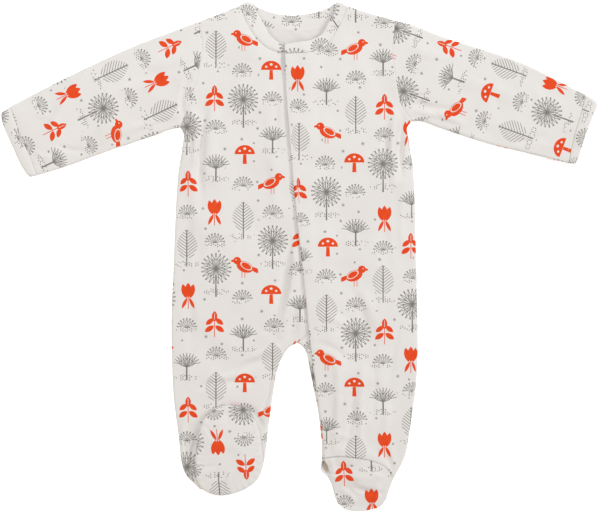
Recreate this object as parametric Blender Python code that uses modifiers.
"""A footed baby sleepsuit laid flat on its back, one closed solid for each piece of cloth.

The wearer's right is at -X, the neck at +Y, and the back rests on Z = 0. Plan points and sizes
are in millimetres; the meshes are built in metres. Every piece is a thin wall: an open surface
laid at the height of the upper or the lower layer of cloth, then thickened to its inside.
"""

import math

import bmesh
import bpy
import numpy as np

MM = 0.001

# ---- driving sizes, in millimetres -------------------------------------------------------

WALL = 1.5              # one layer of soft interlock jersey
BAND_WALL = 2.0         # neck binding and cuffs, the same cloth folded double
SEAM_GAP = 0.3          # between two pieces that are sewn together
LAID_HEIGHT = 5.5       # both layers, just inside a folded edge
CROWN = 1.2             # how much higher the upper layer lies away from the edges
CROWN_REACH = 45.0      # distance from a folded edge at which the crown is full
EDGE_RADIUS = 3.0       # how far in the cloth rolls over at a folded edge
ROLL_POWER = 2.5        # above 2 the roll is squarer than a quarter circle
BAND_LIFT = 0.4         # the bands stand this much above the cloth beside them
OVERLAP_WIDTH = 13.0    # right front running on under the left one
OVERLAP_END = -72.0     # height of the front at which the right one's underlap ends
OVERLAP_RISE = 2.4      # left front over what lies under it at the closure
OVERLAP_FLAT = 20.0     # the rise is full this far from the closure's edge
OVERLAP_FADE = 25.0     # and then runs out over this distance
LEG_UNDERLAP = 8.0      # strip on the left leg running on under the left front
LEG_UNDERLAP_TOP = -76.0
LEG_UNDERLAP_END = -212.0
FOOT_BASE = 7.1         # underside of the folded right foot, resting on the shin
FOOT_HEIGHT = 5.0       # its upper and sole together, just inside the seam round them
SOLE_PUFF = 0.9         # how much more the sole rises in its middle
PUFF_REACH = 24.0

MID = LAID_HEIGHT / 2
ROUNDING = (0.0, 0.05, 0.35, 1.0)   # stations over a rolled edge, as parts of EDGE_RADIUS

# ---- steps of the nets -------------------------------------------------------------------

ROUND_STEPS = len(ROUNDING) - 1
ARMHOLE_STEPS = 7
NECK_STEPS = 7
SIDE_STEPS = 18
CENTRE_STEPS = 12
DIAGONAL_STEPS = 2
INSEAM_STEPS = 6
FRONT_COLUMNS = 6
BACK_COLUMNS = 4
BAND_COLUMNS = 2
SLEEVE_ROWS = 9
CUFF_ROWS = 2
FOOT_ROWS = 3
SOLE_STATIONS = 24

NECK_ROWS = ROUND_STEPS + NECK_STEPS
ARM_ROWS = ROUND_STEPS + ARMHOLE_STEPS + ROUND_STEPS
CROTCH_ROW = NECK_ROWS + CENTRE_STEPS + ROUND_STEPS
ALL_ROWS = ARM_ROWS + SIDE_STEPS + ROUND_STEPS

# ---- seams and edges seen from above, each a smooth curve through its points (x, y) --------

EDGES = {
    "shoulder_right": ((-107.5, 248.5), (-88.5, 255.5), (-72.5, 262), (-63, 266.5)),
    "shoulder_left": ((101, 250), (82, 255.5), (64, 261), (51, 265)),
    "peak_right": ((-63, 266.5), (-59, 269), (-54, 270), (-50, 268)),
    "peak_left": ((51, 265), (46, 268), (41.5, 269), (36.5, 267.5)),
    "neck_back_right": ((-50, 268), (-44.5, 264.5), (-29, 258.5), (-14.5, 256), (-6, 255.5)),
    "neck_back_left": ((36.5, 267.5), (32.5, 265), (25, 261.5), (13, 258), (-6, 255.5)),
    "neck_front_right": ((-50, 268), (-46, 259.5), (-39.5, 249), (-29.5, 232.5), (-21.5, 226.5),
                         (-2.5, 223.5)),
    "neck_front_left": ((36.5, 267.5), (36, 259.5), (31, 249), (23.5, 235.5), (13, 229.5),
                        (-15.5, 224.5)),
    "band_front_right": ((-63, 266.5), (-54, 244), (-45.5, 231.5), (-36.5, 222.5), (-28, 218),
                         (-2.5, 214.5)),
    "band_front_left": ((51, 265), (45, 250), (38.5, 238), (31.5, 226.5), (23, 219.5), (11, 216),
                        (-15.5, 214.5)),
    "band_back_right": ((-63, 266.5), (-52.5, 254.5), (-40, 246), (-20.5, 240.5), (-6, 239.5)),
    "band_back_left": ((51, 265), (44, 257.5), (32.5, 248), (15.5, 241), (-6, 239.5)),
    "armhole_right": ((-107.5, 248.5), (-104.5, 235), (-103.5, 222.5), (-105.5, 204.5),
                      (-113, 174), (-126.5, 136.5)),
    "armhole_left": ((101, 250), (100, 235), (98, 220.5), (99, 204.5), (103, 182.5), (108, 160),
                     (119, 143)),
    "sleeve_top_right": ((-107.5, 248.5), (-139.5, 236.5), (-180.5, 220.5), (-253, 186.5),
                         (-307, 158.5)),
    "sleeve_top_left": ((101, 250), (119, 245.5), (151, 233), (190.5, 220.5), (239, 203.5),
                        (304, 171)),
    "sleeve_under_right": ((-126.5, 136.5), (-137.5, 134), (-156.5, 127), (-204, 111),
                           (-250.5, 94), (-279, 85.5)),
    "sleeve_under_left": ((119, 143), (129, 143), (150, 135.5), (201, 119), (244.5, 108.5),
                          (285, 98.5)),
    "cuff_seam_right": ((-307, 158.5), (-299, 136.5), (-291, 116.5), (-284.5, 102), (-279, 85.5)),
    "cuff_seam_left": ((304, 171), (297.5, 148.5), (292, 130.5), (288, 112.5), (285, 98.5)),
    "cuff_top_right": ((-307, 158.5), (-316.5, 152)),
    "cuff_top_left": ((304, 171), (316.5, 163)),
    "cuff_under_right": ((-279, 85.5), (-286.5, 83.5)),
    "cuff_under_left": ((285, 98.5), (293.5, 98)),
    "cuff_edge_right": ((-316.5, 152), (-314.5, 140), (-305, 118.5), (-297, 100.5),
                        (-286.5, 83.5)),
    "cuff_edge_left": ((316.5, 163), (309, 144), (302.5, 127), (298, 111.5), (293.5, 98)),
    "side_right": ((-126.5, 136.5), (-123, 130), (-125, 112.5), (-129, 86), (-134, -15),
                   (-136, -70), (-134, -144), (-129, -186.5), (-122, -229), (-106, -247)),
    "side_left": ((119, 143), (114, 135.5), (115.5, 126), (120.5, 93.5), (123.5, 6.5),
                  (125.5, -110), (123, -142), (117, -184.5), (112, -212), (100.5, -234.5)),
    "centre_back": ((-6, 239.5), (-2.5, -92)),
    "inseam_right": ((-2.5, -92), (-10.5, -96.5), (-17, -105), (-23, -119), (-31.5, -169.5),
                     (-40, -227), (-48, -238.5)),
    "inseam_left": ((-2.5, -92), (3.5, -96), (7.5, -104), (10.5, -118.5), (20.5, -171.5),
                    (23.5, -200.5), (23.5, -215)),
    "front_edge": ((-15.5, 214.5), (-14.5, 176), (-12, 142), (-5, 59.5), (5, -30.5),
                   (12, -99.5), (19, -148.5), (25.5, -200.5)),
    "heel_right": ((-106, -247), (-92, -250), (-74, -250), (-58, -246), (-48, -238.5)),
    "ankle_left": ((100.5, -234.5), (91.5, -223.5), (77, -217), (60, -214), (44.5, -212.5),
                   (34, -213), (23.5, -215)),
    "foot_outer": ((100.5, -234.5), (95, -248), (92, -258)),
    "foot_inner": ((23.5, -215), (22.5, -227), (29, -232), (33, -239.5), (36, -252.5),
                   (41, -263)),
    "toe_left": ((92, -258), (85.5, -266), (74.5, -269.5), (61, -271), (49.5, -269), (41, -263)),
}

# The right foot's sole, its toe towards the neck, a row for each height.
SOLE_ROWS = (
    # y, x left, x right
    (-157.5, -76, -66),
    (-162, -92, -54.5),
    (-173, -101.5, -47.5),
    (-186.5, -106, -42.5),
    (-202.5, -109, -40),
    (-218.5, -110, -38.5),
    (-235.5, -109, -44),
    (-246, -103, -57),
    (-252.5, -88, -76),
)

# The largest soft folds of the upper layer: a positive rise stands up, a negative one is a trough.
FOLDS = (
    # name, start (x, y), end (x, y), half width, rise
    ("underarm_right", (-124, 128), (-104, 20), 11, 1.1),
    ("sleeve_head_right", (-112, 146), (-128, 196), 10, 0.9),
    ("underarm_left", (108, 128), (112, 40), 11, 1.0),
    ("sleeve_head_left", (112, 150), (128, 188), 9, 0.9),
    ("elbow_right", (-210, 118), (-190, 168), 13, 0.8),
    ("elbow_left", (214, 122), (196, 168), 13, 0.8),
    ("crotch_high", (0, -18), (-12, -74), 9, -1.0),
    ("crotch_right", (-14, -30), (-34, -104), 12, 1.0),
    ("hip_right", (-110, -60), (-60, -110), 16, 0.9),
    ("knee_left", (34, -120), (100, -138), 15, 0.9),
    ("shin_right", (-112, -140), (-62, -150), 12, 0.5),
    ("ankle_left", (36, -205), (92, -212), 9, 1.1),
    ("instep_left", (36, -232), (84, -238), 9, 1.0),
)

CLOTH_COLOUR = (0.80, 0.77, 0.73)
CLOTH_ROUGHNESS = 0.9


# ---- plan curves -------------------------------------------------------------------------

class Curve:
    """A smooth plan curve through its points, read by the distance along it."""

    def __init__(self, points, closed=False):
        anchors = np.array(points, float)
        if closed:
            padded = np.vstack((anchors[-1], anchors, anchors[0], anchors[1]))
        else:
            before = 2 * anchors[0] - anchors[1]
            after = 2 * anchors[-1] - anchors[-2]
            padded = np.vstack((before, anchors, after))
        spans = [self.span(*padded[i:i + 4]) for i in range(len(padded) - 3)]
        self.points = np.vstack(spans + [padded[-2]])
        steps = np.linalg.norm(np.diff(self.points, axis=0), axis=1)
        self.marks = np.concatenate(([0.0], np.cumsum(steps)))
        self.length = self.marks[-1]

    @staticmethod
    def span(first, start, end, last):
        """Points a millimetre apart between two anchors, allowing for their uneven spacing."""
        before, here, after = (math.sqrt(math.dist(a, b))
                               for a, b in ((first, start), (start, end), (end, last)))
        leave = (start - first) / before - (end - first) / (before + here) + (end - start) / here
        arrive = (end - start) / here - (last - start) / (here + after) + (last - end) / after
        count = max(2, math.ceil(here * here))
        t = (np.arange(count) / count)[:, None]
        return ((2 * t**3 - 3 * t**2 + 1) * start + (t**3 - 2 * t**2 + t) * leave * here
                + (3 * t**2 - 2 * t**3) * end + (t**3 - t**2) * arrive * here)

    def at(self, distance):
        x = np.interp(distance, self.marks, self.points[:, 0])
        y = np.interp(distance, self.marks, self.points[:, 1])
        return np.stack((x, y), axis=-1)

    def mark_at_height(self, y):
        """Distance along a curve that runs down the garment to the height y."""
        return np.interp(-y, -self.points[:, 1], self.marks)


CURVES = {name: Curve(points) for name, points in EDGES.items()}
ANKLE = CURVES["ankle_left"]
CURVES["ankle_front"] = Curve(ANKLE.at(np.linspace(0, ANKLE.length - EDGE_RADIUS, 12)))
CURVES["front_edge"] = Curve([*EDGES["front_edge"], ANKLE.at(ANKLE.length - EDGE_RADIUS)])
CURVES["sole_right"] = Curve([(left, y) for y, left, _ in SOLE_ROWS]
                             + [(right, y) for y, _, right in reversed(SOLE_ROWS)], closed=True)


def beside_closure(distance, top, bottom, steps):
    """Points along the closure, a distance to the wearer's left of its edge."""
    edge = CURVES["front_edge"]
    marks = np.linspace(edge.mark_at_height(top), edge.mark_at_height(bottom), steps + 1)
    along = edge.at(np.minimum(marks + 1, edge.length)) - edge.at(np.maximum(marks - 1, 0))
    along /= np.linalg.norm(along, axis=1)[:, None]
    return edge.at(marks) + distance * np.stack((-along[:, 1], along[:, 0]), axis=1)


def stations(length, steps, round_start=0, round_end=0):
    """Distances along a length, close together where the cloth rolls over a folded edge.

    round_start and round_end are 0 for an end with no roll, and otherwise widen its roll.
    """
    over = EDGE_RADIUS * np.array(ROUNDING)
    start = over * round_start if round_start else over[:1]
    end = length - (over * round_end if round_end else over[:1])[::-1]
    middle = np.linspace(start[-1], end[0], steps + 1)[1:-1]
    return np.concatenate((start, middle, end))


def read(name, steps, round_start=False, round_end=False):
    """Points of a named curve at its stations."""
    curve = CURVES[name]
    return curve.at(stations(curve.length, steps, round_start, round_end))


def read_to_end(name, steps):
    """Points of an edge down to a foot: the right one ends at a rolled heel, the left in a seam."""
    if name.endswith("right"):
        return read(name, steps, round_end=True)
    return read(name, steps + ROUND_STEPS)


def chain(*pieces):
    """One row of points from several that follow each other and share their ends."""
    return np.vstack([pieces[0]] + [piece[1:] for piece in pieces[1:]])


# ---- where the cloth lies ------------------------------------------------------------------

FOLDED_STARTS = ("shoulder", "peak", "sleeve_", "cuff_top", "cuff_under", "side", "inseam",
                 "heel", "foot", "toe")
FOLDED_EDGES = tuple(CURVES[name].points for name in EDGES if name.startswith(FOLDED_STARTS))


def distance_to(points, line):
    """Distance of each plan point from a line of points."""
    start, step = line[:-1], np.diff(line, axis=0)
    reach = np.maximum((step**2).sum(axis=1), 1e-9)
    away = points[:, None, :] - start
    part = np.clip((away * step).sum(axis=2) / reach, 0, 1)
    return np.linalg.norm(away - part[:, :, None] * step, axis=2).min(axis=1)


def edge_distance(points):
    """Distance of each plan point from the nearest folded edge of the garment."""
    return np.min([distance_to(points, line) for line in FOLDED_EDGES], axis=0)


def ease(value):
    value = np.clip(value, 0, 1)
    return value * value * (3 - 2 * value)


def roll(distance):
    """0 at a folded edge and 1 from EDGE_RADIUS inwards, as a rounded corner."""
    return (1 - np.clip(1 - distance / EDGE_RADIUS, 0, 1) ** ROLL_POWER) ** (1 / ROLL_POWER)


def fold_rise(points):
    """Height of the soft folds, each fading out sideways and at its ends."""
    rise = np.zeros(len(points))
    for _, start, end, half_width, height in FOLDS:
        start, end = np.array(start, float), np.array(end, float)
        length = math.dist(start, end)
        across_axis = np.array((start[1] - end[1], end[0] - start[0])) / length
        along = (points - start) @ (end - start) / length**2
        across = np.abs((points - start) @ across_axis) / half_width
        ends = np.sin(math.pi * np.clip(along, 0, 1)) ** 0.6
        rise += height * ends * np.cos(math.pi / 2 * np.minimum(across, 1)) ** 2
    return rise


def upper(points, distance):
    """Height of the upper layer's outside."""
    seam = MID + SEAM_GAP
    crown = CROWN * ease(distance / CROWN_REACH)
    folds = fold_rise(points) * ease(distance / 14)
    return seam + (LAID_HEIGHT - seam) * roll(distance) + crown + folds


def upper_band(points, distance):
    return upper(points, distance) + BAND_LIFT * roll(distance)


def overlap(points, distance):
    """How far the left front is lifted near the closure's edge by what lies under it."""
    away = distance_to(points, CURVES["front_edge"].points)
    return OVERLAP_RISE * ease(1 - (away - OVERLAP_FLAT) / OVERLAP_FADE) * roll(distance)


def over_closure(points, distance):
    return upper(points, distance) + overlap(points, distance)


def over_closure_band(points, distance):
    return upper_band(points, distance) + overlap(points, distance)


def lower(points, distance):
    """Height of the lower layer's outside, flat on the surface away from the edges."""
    return (MID - SEAM_GAP) * (1 - roll(distance))


# ---- nets of plan points -------------------------------------------------------------------

def slant(side, across):
    """How much longer a roll is along rows that meet a side at a slant; the end rows keep it."""
    along = np.gradient(side, axis=0)
    sine = np.abs(along[:, 0] * across[:, 1] - along[:, 1] * across[:, 0])
    sine /= np.linalg.norm(along, axis=1) * np.linalg.norm(across, axis=1)
    widen = 1 / np.clip(sine, 0.3, 1)
    widen[[0, -1]] = 1
    return widen


def net(first, last, outer, inner, steps, round_outer=False, round_inner=False):
    """Plan points of a four-sided piece, in rows from its outer to its inner side.

    first and last are the curves of the end rows; outer and inner are the ends of all rows.
    """
    outer_roll = round_outer * slant(outer, inner - outer)
    inner_roll = round_inner * slant(inner, inner - outer)
    spacing = (np.linalg.norm(np.diff(outer, axis=0), axis=1)
               + np.linalg.norm(np.diff(inner, axis=0), axis=1))
    down = np.concatenate(([0.0], np.cumsum(spacing))) / spacing.sum()
    bow = np.array((first.length / math.dist(outer[0], inner[0]),
                    last.length / math.dist(outer[-1], inner[-1])))
    rows = []
    for s, left, right, left_roll, right_roll in zip(down, outer, inner, outer_roll, inner_roll):
        width = math.dist(left, right) * ((1 - s) * bow[0] + s * bow[1])
        u = stations(width, steps, left_roll, right_roll) / width
        bows = [curve.at(u * curve.length) - (1 - u[:, None]) * curve.points[0]
                - u[:, None] * curve.points[-1] for curve in (first, last)]
        u = u[:, None]
        rows.append((1 - s) * bows[0] + s * bows[1] + (1 - u) * left + u * right)
    return np.array(rows)


def draw_in(line, inside, gap=SEAM_GAP / 2):
    """Moves a line of points by half a seam gap, to the side that a point inside lies on."""
    along = np.gradient(line, axis=0)
    sideways = np.stack((-along[:, 1], along[:, 0]), axis=1)
    sideways /= np.linalg.norm(sideways, axis=1)[:, None]
    facing = np.sign(((inside - line) * sideways).sum(axis=1))[:, None]
    return line + sideways * facing * gap


def part_ends(plan, first=SEAM_GAP / 2, last=SEAM_GAP / 2):
    """Draws the end rows of a net in at their seams."""
    plan = plan.copy()
    plan[0] = draw_in(plan[0], plan[1], first)
    plan[-1] = draw_in(plan[-1], plan[-2], last)
    return plan


def lay(plan, height):
    """Points in space for a net: its plan at the height of the cloth."""
    flat = plan.reshape(-1, 2)
    z = height(flat, edge_distance(flat))
    return np.column_stack((flat, z)).reshape(*plan.shape[:2], 3)


# ---- meshes --------------------------------------------------------------------------------

def cloth_material(name):
    material = bpy.data.materials.new(name)
    material.use_nodes = True
    shader = material.node_tree.nodes["Principled BSDF"]
    shader.inputs["Base Color"].default_value = (*CLOTH_COLOUR, 1)
    shader.inputs["Roughness"].default_value = CLOTH_ROUGHNESS
    shader.inputs["Metallic"].default_value = 0.0
    return material


def add_net(mesh, points, wrap=False, facing_up=True):
    """Adds the quads between a net's points, its middle ones facing up or down."""
    rows, columns = points.shape[:2]
    here = points[rows // 2 - 1, 1]
    across = points[rows // 2 - 1, 2] - here
    down = points[rows // 2, 1] - here
    flip = (np.cross(across, down)[2] > 0) != facing_up
    verts = [[mesh.verts.new(point * MM) for point in row] for row in points]
    for row in range(rows - 1):
        for column in range(columns if wrap else columns - 1):
            beside = (column + 1) % columns
            quad = [verts[row][column], verts[row][beside],
                    verts[row + 1][beside], verts[row + 1][column]]
            mesh.faces.new(quad[::-1] if flip else quad)


def add_cloth(name, nets, wall=WALL, wrap=False, facing_up=True):
    """One piece of cloth: nets joined to an open surface, thickened to its inside."""
    mesh = bmesh.new()
    for points in nets:
        add_net(mesh, points, wrap, facing_up)
    bmesh.ops.remove_doubles(mesh, verts=mesh.verts, dist=0.01 * MM)
    data = bpy.data.meshes.new(name)
    mesh.to_mesh(data)
    mesh.free()
    data.materials.append(cloth_material(name))
    data.shade_smooth()
    piece = bpy.data.objects.new(name, data)
    thicken = piece.modifiers.new("wall", "SOLIDIFY")
    thicken.thickness = wall * MM
    thicken.offset = -1
    thicken.use_even_offset = True
    pieces.objects.link(piece)
    piece.parent = origin


def add_tube(name, plan, height, wall=WALL):
    """A tube laid flat: each row of its net is a ring, out over the top and back below."""
    top = lay(plan, height)
    bottom = lay(plan, lower)
    top[:, (0, -1), 2] = MID
    rings = np.concatenate((top, bottom[:, -2:0:-1]), axis=1)
    add_cloth(name, [rings], wall, wrap=True)


# ---- the pieces ----------------------------------------------------------------------------

UPPER_SEAM = MID + SEAM_GAP
LOWER_SEAM = MID - SEAM_GAP
CHEST = np.array((-6.0, 150.0))     # a place inside the panels, and one inside the neck's edge
NECK = np.array((-6.0, 262.0))


def outer_side(side):
    """Armhole and side edge of a front or a half back, from the shoulder down."""
    armhole = draw_in(read("armhole_" + side, ARMHOLE_STEPS, True, True), CHEST)
    return chain(armhole, read_to_end("side_" + side, SIDE_STEPS))


def make_back():
    """Back and both legs in one: two halves that share the middle line down to the crotch."""
    halves = []
    for side, end in (("right", "heel_right"), ("left", "ankle_left")):
        neck = draw_in(read("band_back_" + side, NECK_STEPS, True), CHEST)
        neck[-1] = CURVES["centre_back"].at(SEAM_GAP / 2)
        inner = chain(neck, read("centre_back", CENTRE_STEPS, round_end=True),
                      read_to_end("inseam_" + side, INSEAM_STEPS))
        plan = net(CURVES["shoulder_" + side], CURVES[end], outer_side(side), inner,
                   BACK_COLUMNS, True, True)
        if side == "left":
            plan = part_ends(plan, first=0)
        points = lay(plan, lower)
        points[0, :, 2] = LOWER_SEAM
        points[ARM_ROWS:, 0, 2] = LOWER_SEAM
        points[CROTCH_ROW:, -1, 2] = LOWER_SEAM
        if side == "right":
            points[-1, :, 2] = LOWER_SEAM
        halves.append(points)
    add_cloth("back", halves, facing_up=False)


def make_front_right():
    """Right front and leg, with the underlap that runs on beneath the left front."""
    neck = draw_in(read("band_front_right", NECK_STEPS, True), CHEST)
    underlap = beside_closure(OVERLAP_WIDTH, EDGES["front_edge"][0][1], OVERLAP_END,
                              CENTRE_STEPS - DIAGONAL_STEPS)
    crotch = CURVES["inseam_right"].at(0)
    diagonal = Curve((underlap[-1], crotch))
    inner = chain(neck, underlap,
                  diagonal.at(stations(diagonal.length, DIAGONAL_STEPS, round_end=True)),
                  read_to_end("inseam_right", INSEAM_STEPS))
    plan = net(CURVES["shoulder_right"], CURVES["heel_right"], outer_side("right"), inner,
               FRONT_COLUMNS, True, True)
    points = lay(plan, upper)
    points[(0, -1), :, 2] = UPPER_SEAM
    points[ARM_ROWS:, 0, 2] = UPPER_SEAM
    points[CROTCH_ROW:, -1, 2] = UPPER_SEAM
    add_cloth("front_right", [points])


def make_front_left():
    """Left front and leg, from the shoulder to the ankle, lying over the closure."""
    inner = chain(draw_in(read("band_front_left", NECK_STEPS, True), CHEST),
                  read("front_edge", ALL_ROWS - NECK_ROWS))
    plan = net(CURVES["shoulder_left"], CURVES["ankle_front"], outer_side("left"), inner,
               FRONT_COLUMNS, True)
    points = lay(part_ends(plan, first=0), over_closure)
    points[0, :, 2] = UPPER_SEAM
    points[ARM_ROWS:, 0, 2] = UPPER_SEAM
    add_cloth("front_left", [points])


def make_leg_underlap():
    """Strip of the closure along the inner left leg, from the crotch to the ankle."""
    outer = read_to_end("inseam_left", INSEAM_STEPS)
    inner = beside_closure(LEG_UNDERLAP, LEG_UNDERLAP_TOP, LEG_UNDERLAP_END, len(outer) - 1)
    plan = net(Curve((outer[0], inner[0])), Curve((outer[-1], inner[-1])), outer, inner,
               BAND_COLUMNS, True)
    points = lay(part_ends(plan, SEAM_GAP, SEAM_GAP), upper)
    points[:, 0, 2] = UPPER_SEAM
    add_cloth("leg_underlap", [points])


def make_sleeve(side):
    """Sleeve and cuff: tubes between the armhole, the cuff's seam and the cuff's edge."""
    sleeve = net(CURVES["armhole_" + side], CURVES["cuff_seam_" + side],
                 read("sleeve_top_" + side, SLEEVE_ROWS),
                 read("sleeve_under_" + side, SLEEVE_ROWS), ARMHOLE_STEPS, True, True)
    add_tube("sleeve_" + side, part_ends(sleeve), upper)
    cuff = net(CURVES["cuff_seam_" + side], CURVES["cuff_edge_" + side],
               read("cuff_top_" + side, CUFF_ROWS),
               read("cuff_under_" + side, CUFF_ROWS), ARMHOLE_STEPS, True, True)
    add_tube("cuff_" + side, part_ends(cuff, last=0), upper_band, BAND_WALL)


def make_neckband():
    """The neck binding: two front stretches that overlap at the closure, and the back one."""
    for side, height in (("right", upper_band), ("left", over_closure_band)):
        outer = draw_in(read("band_front_" + side, NECK_STEPS, True), NECK, SEAM_GAP)
        inner = read("neck_front_" + side, NECK_STEPS, True)
        plan = net(CURVES["peak_" + side], Curve((outer[-1], inner[-1])), outer, inner,
                   BAND_COLUMNS)
        points = lay(plan, height)
        points[0, :, 2] = UPPER_SEAM
        add_cloth("neckband_" + side, [points], BAND_WALL)

    outer, inner = (chain(read(edge + "_right", NECK_STEPS, True),
                          read(edge + "_left", NECK_STEPS, True)[::-1])
                    for edge in ("band_back", "neck_back"))
    plan = net(CURVES["peak_right"], CURVES["peak_left"], draw_in(outer, NECK, SEAM_GAP), inner,
               BAND_COLUMNS)
    points = lay(plan, lower)
    points[(0, -1), :, 2] = LOWER_SEAM
    add_cloth("neckband_back", [points], BAND_WALL, facing_up=False)


def make_left_foot():
    """Left foot with its toe down: the upper on top and the sole on the surface."""
    for name, height, seam, columns in (("foot_left", upper, UPPER_SEAM, FRONT_COLUMNS),
                                        ("sole_left", lower, LOWER_SEAM, BACK_COLUMNS)):
        plan = net(CURVES["ankle_left"], CURVES["toe_left"],
                   read("foot_outer", FOOT_ROWS, round_end=True),
                   read("foot_inner", FOOT_ROWS, round_end=True), columns, True, True)
        points = lay(part_ends(plan, last=0), height)
        points[:, (0, -1), 2] = seam
        points[-1, :, 2] = seam
        add_cloth(name, [points], facing_up=name == "foot_left")


def make_right_foot():
    """Right foot folded up over the shin: its upper lies below and its sole on top."""
    outline = CURVES["sole_right"]
    edge = outline.at(np.arange(SOLE_STATIONS) * outline.length / SOLE_STATIONS)
    centre = edge.mean(axis=0)
    inwards = centre - edge
    reach = np.linalg.norm(inwards, axis=1)[:, None]
    rings = [edge + inwards * (EDGE_RADIUS * part / reach) for part in ROUNDING]
    rings += [edge + inwards * part for part in (0.4, 0.75, 1.0)]
    plan = np.array(rings)
    flat = plan.reshape(-1, 2)
    away = distance_to(flat, outline.points)
    away[:SOLE_STATIONS] = 0
    middle = FOOT_BASE + FOOT_HEIGHT / 2
    half = FOOT_HEIGHT / 2 - SEAM_GAP
    sole = middle + SEAM_GAP + half * roll(away) + SOLE_PUFF * ease(away / PUFF_REACH)
    instep = middle - SEAM_GAP - half * roll(away)
    for name, z in (("sole_right", sole), ("foot_right", instep)):
        points = np.column_stack((flat, z)).reshape(*plan.shape[:2], 3)
        add_cloth(name, [points], wrap=True, facing_up=name == "sole_right")


for old in list(bpy.data.objects):
    bpy.data.objects.remove(old, do_unlink=True)

pieces = bpy.data.collections.new("sleepsuit")
bpy.context.scene.collection.children.link(pieces)
origin = bpy.data.objects.new("sleepsuit_origin", None)
pieces.objects.link(origin)

make_back()
make_front_right()
make_front_left()
make_leg_underlap()
for wearer_side in ("right", "left"):
    make_sleeve(wearer_side)
make_neckband()
make_left_foot()
make_right_foot()
